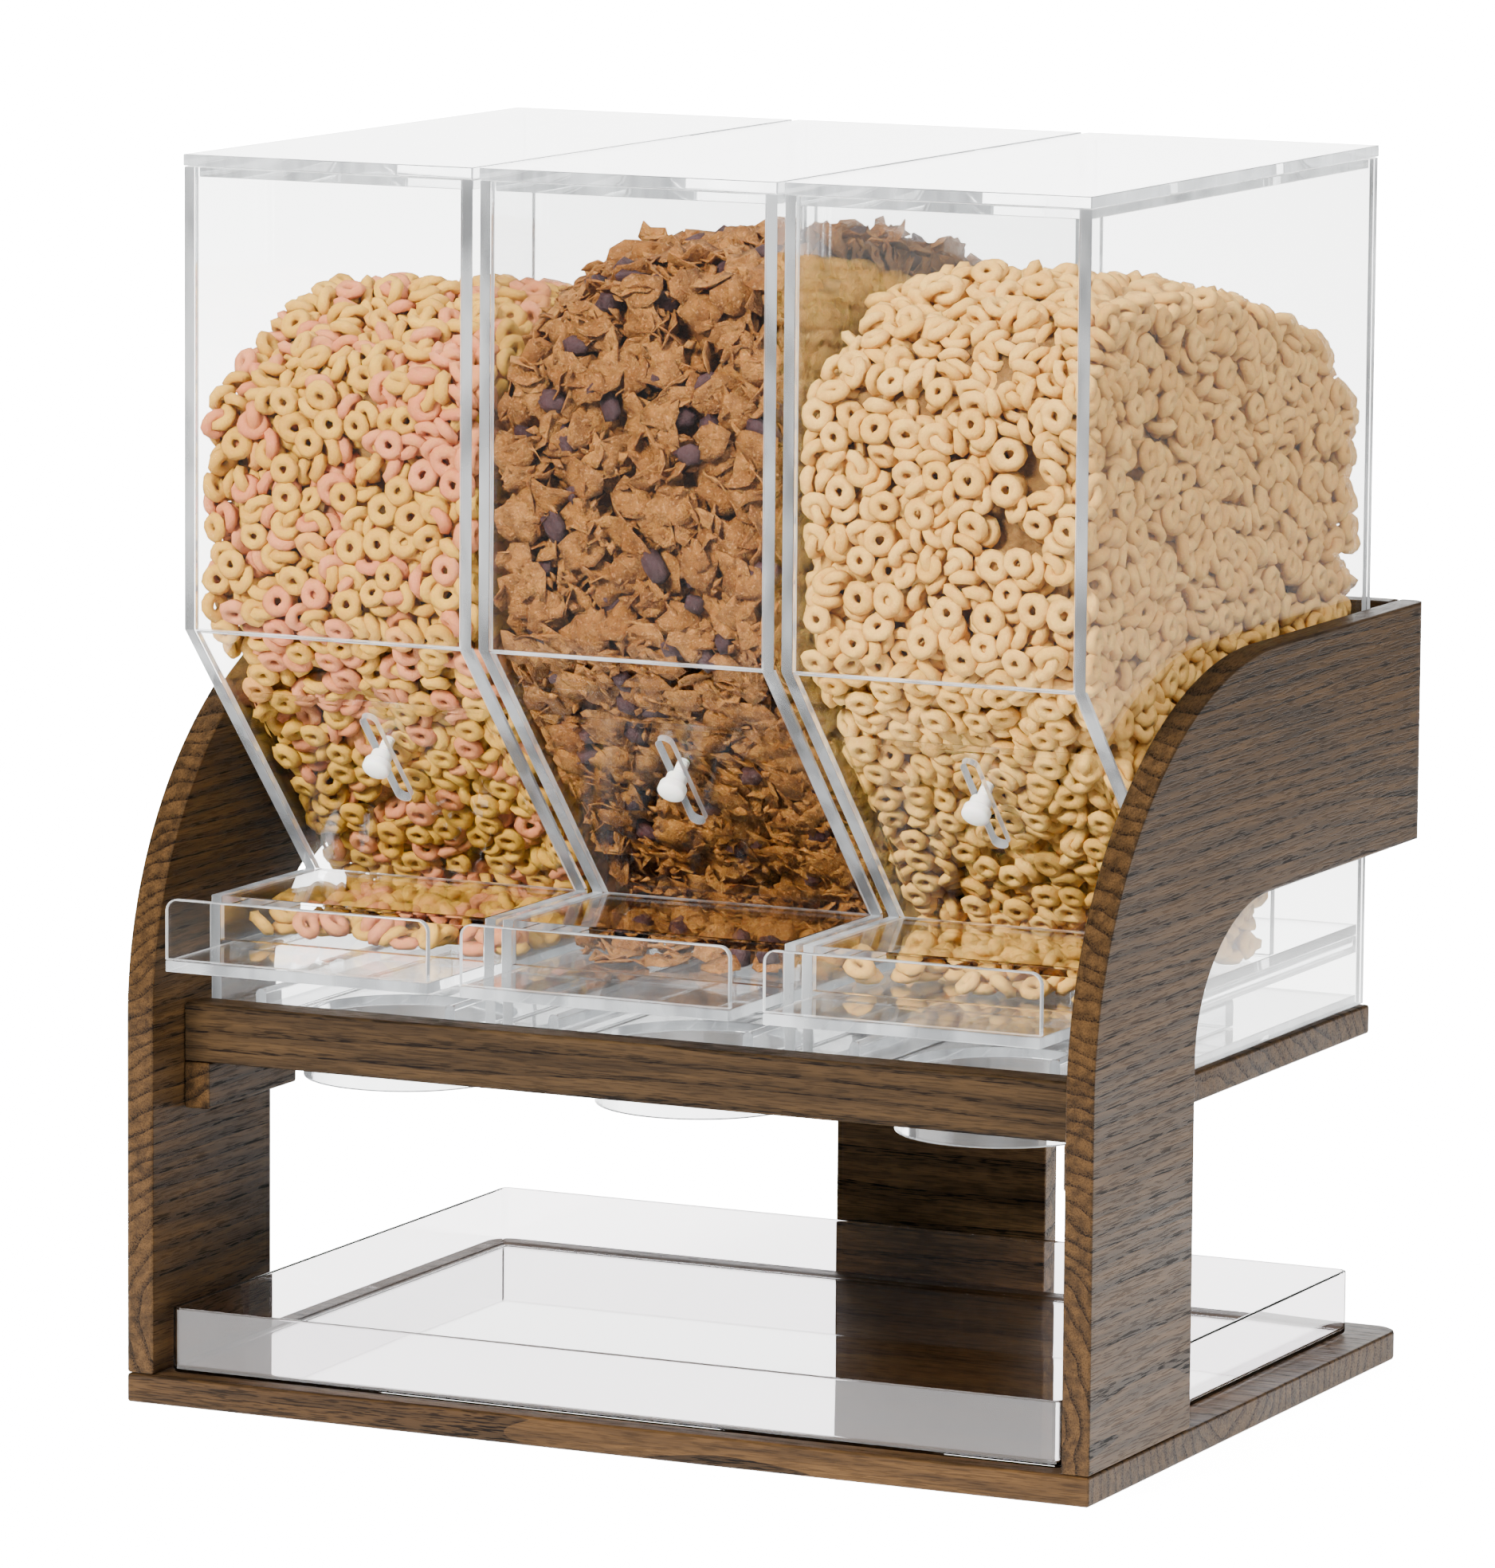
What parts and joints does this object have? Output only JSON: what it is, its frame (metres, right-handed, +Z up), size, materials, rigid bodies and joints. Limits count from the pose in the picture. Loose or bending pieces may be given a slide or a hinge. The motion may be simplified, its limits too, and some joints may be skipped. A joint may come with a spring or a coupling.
{
  "type": "cereal dispenser",
  "caption": "Countertop cereal dispenser: clear lidded bins with pull-out slides and flow-setting plates, seated side by side in an oak stand over a clear crumb tray.",
  "frame": {"origin": "centre of the bounding box, on the table plane under the base board", "axes": "+X to the user's right, -Y to the front where the bowls go in, +Z up"},
  "size_m": [0.427, 0.3468, 0.508],
  "materials": {
    "oak": "dark stained satin oak",
    "acrylic": "clear polished acrylic sheet",
    "tray_plastic": "clear thin moulded plastic",
    "nylon": "natural white nylon"
  },
  "bodies": {
    "stand": {"base_board": "oak", "side_panel_left": "oak", "side_panel_right": "oak", "front_rail": "oak", "shelf_board": "oak", "back_board": "oak", "rear_post": "oak", "cleat_left": "oak", "cleat_right": "oak"},
    "tray": {"crumb_tray": "tray_plastic"},
    "bin_left": {"left_side_left": "acrylic", "left_side_right": "acrylic", "left_front_panel": "acrylic", "left_slant_panel": "acrylic", "left_nose_cover": "acrylic", "left_back_panel": "acrylic", "left_hopper_floor": "acrylic", "left_rear_floor": "acrylic", "left_base_plate": "acrylic", "left_fence": "acrylic", "left_collar": "acrylic"},
    "lid_left": {"left_lid": "acrylic"},
    "slide_left": {"left_slide_plate": "acrylic", "left_handle_plate": "acrylic"},
    "gate_left": {"left_gate_plate": "acrylic"},
    "screw_left": {"left_thumb_screw": "nylon"},
    "bin_middle": {"middle_side_left": "acrylic", "middle_side_right": "acrylic", "middle_front_panel": "acrylic", "middle_slant_panel": "acrylic", "middle_nose_cover": "acrylic", "middle_back_panel": "acrylic", "middle_hopper_floor": "acrylic", "middle_rear_floor": "acrylic", "middle_base_plate": "acrylic", "middle_fence": "acrylic", "middle_collar": "acrylic"},
    "lid_middle": {"middle_lid": "acrylic"},
    "slide_middle": {"middle_slide_plate": "acrylic", "middle_handle_plate": "acrylic"},
    "gate_middle": {"middle_gate_plate": "acrylic"},
    "screw_middle": {"middle_thumb_screw": "nylon"},
    "bin_right": {"right_side_left": "acrylic", "right_side_right": "acrylic", "right_front_panel": "acrylic", "right_slant_panel": "acrylic", "right_nose_cover": "acrylic", "right_back_panel": "acrylic", "right_hopper_floor": "acrylic", "right_rear_floor": "acrylic", "right_base_plate": "acrylic", "right_fence": "acrylic", "right_collar": "acrylic"},
    "lid_right": {"right_lid": "acrylic"},
    "slide_right": {"right_slide_plate": "acrylic", "right_handle_plate": "acrylic"},
    "gate_right": {"right_gate_plate": "acrylic"},
    "screw_right": {"right_thumb_screw": "nylon"}
  },
  "joints": [
    {"name": "tray_pull", "type": "slide", "parent": "stand", "child": "tray", "axis": [0, -1, 0], "range_m": [0, 0.29]},
    {"name": "left_bin_lift", "type": "slide", "parent": "stand", "child": "bin_left", "axis": [0, 0, 1], "range_m": [0, 0.15]},
    {"name": "left_lid_lift", "type": "slide", "parent": "bin_left", "child": "lid_left", "axis": [0, 0, 1], "range_m": [0, 0.12]},
    {"name": "left_slide_pull", "type": "slide", "parent": "bin_left", "child": "slide_left", "axis": [0, -1, 0], "range_m": [0, 0.095]},
    {"name": "left_gate_set", "type": "slide", "parent": "bin_left", "child": "gate_left", "axis": [0, 0.6792, -0.734], "range_m": [-0.018, 0.025]},
    {"name": "left_screw_turn", "type": "hinge", "parent": "gate_left", "child": "screw_left", "pos_m": [-0.1334, -0.09864, 0.26332], "axis": [0, -0.734, -0.6792], "continuous": true},
    {"name": "middle_bin_lift", "type": "slide", "parent": "stand", "child": "bin_middle", "axis": [0, 0, 1], "range_m": [0, 0.15]},
    {"name": "middle_lid_lift", "type": "slide", "parent": "bin_middle", "child": "lid_middle", "axis": [0, 0, 1], "range_m": [0, 0.12]},
    {"name": "middle_slide_pull", "type": "slide", "parent": "bin_middle", "child": "slide_middle", "axis": [0, -1, 0], "range_m": [0, 0.095]},
    {"name": "middle_gate_set", "type": "slide", "parent": "bin_middle", "child": "gate_middle", "axis": [0, 0.6792, -0.734], "range_m": [-0.018, 0.025]},
    {"name": "middle_screw_turn", "type": "hinge", "parent": "gate_middle", "child": "screw_middle", "pos_m": [0, -0.09864, 0.26332], "axis": [0, -0.734, -0.6792], "continuous": true},
    {"name": "right_bin_lift", "type": "slide", "parent": "stand", "child": "bin_right", "axis": [0, 0, 1], "range_m": [0, 0.15]},
    {"name": "right_lid_lift", "type": "slide", "parent": "bin_right", "child": "lid_right", "axis": [0, 0, 1], "range_m": [0, 0.12]},
    {"name": "right_slide_pull", "type": "slide", "parent": "bin_right", "child": "slide_right", "axis": [0, -1, 0], "range_m": [0, 0.095]},
    {"name": "right_gate_set", "type": "slide", "parent": "bin_right", "child": "gate_right", "axis": [0, 0.6792, -0.734], "range_m": [-0.018, 0.025]},
    {"name": "right_screw_turn", "type": "hinge", "parent": "gate_right", "child": "screw_right", "pos_m": [0.1334, -0.09864, 0.26332], "axis": [0, -0.734, -0.6792], "continuous": true}
  ]
}
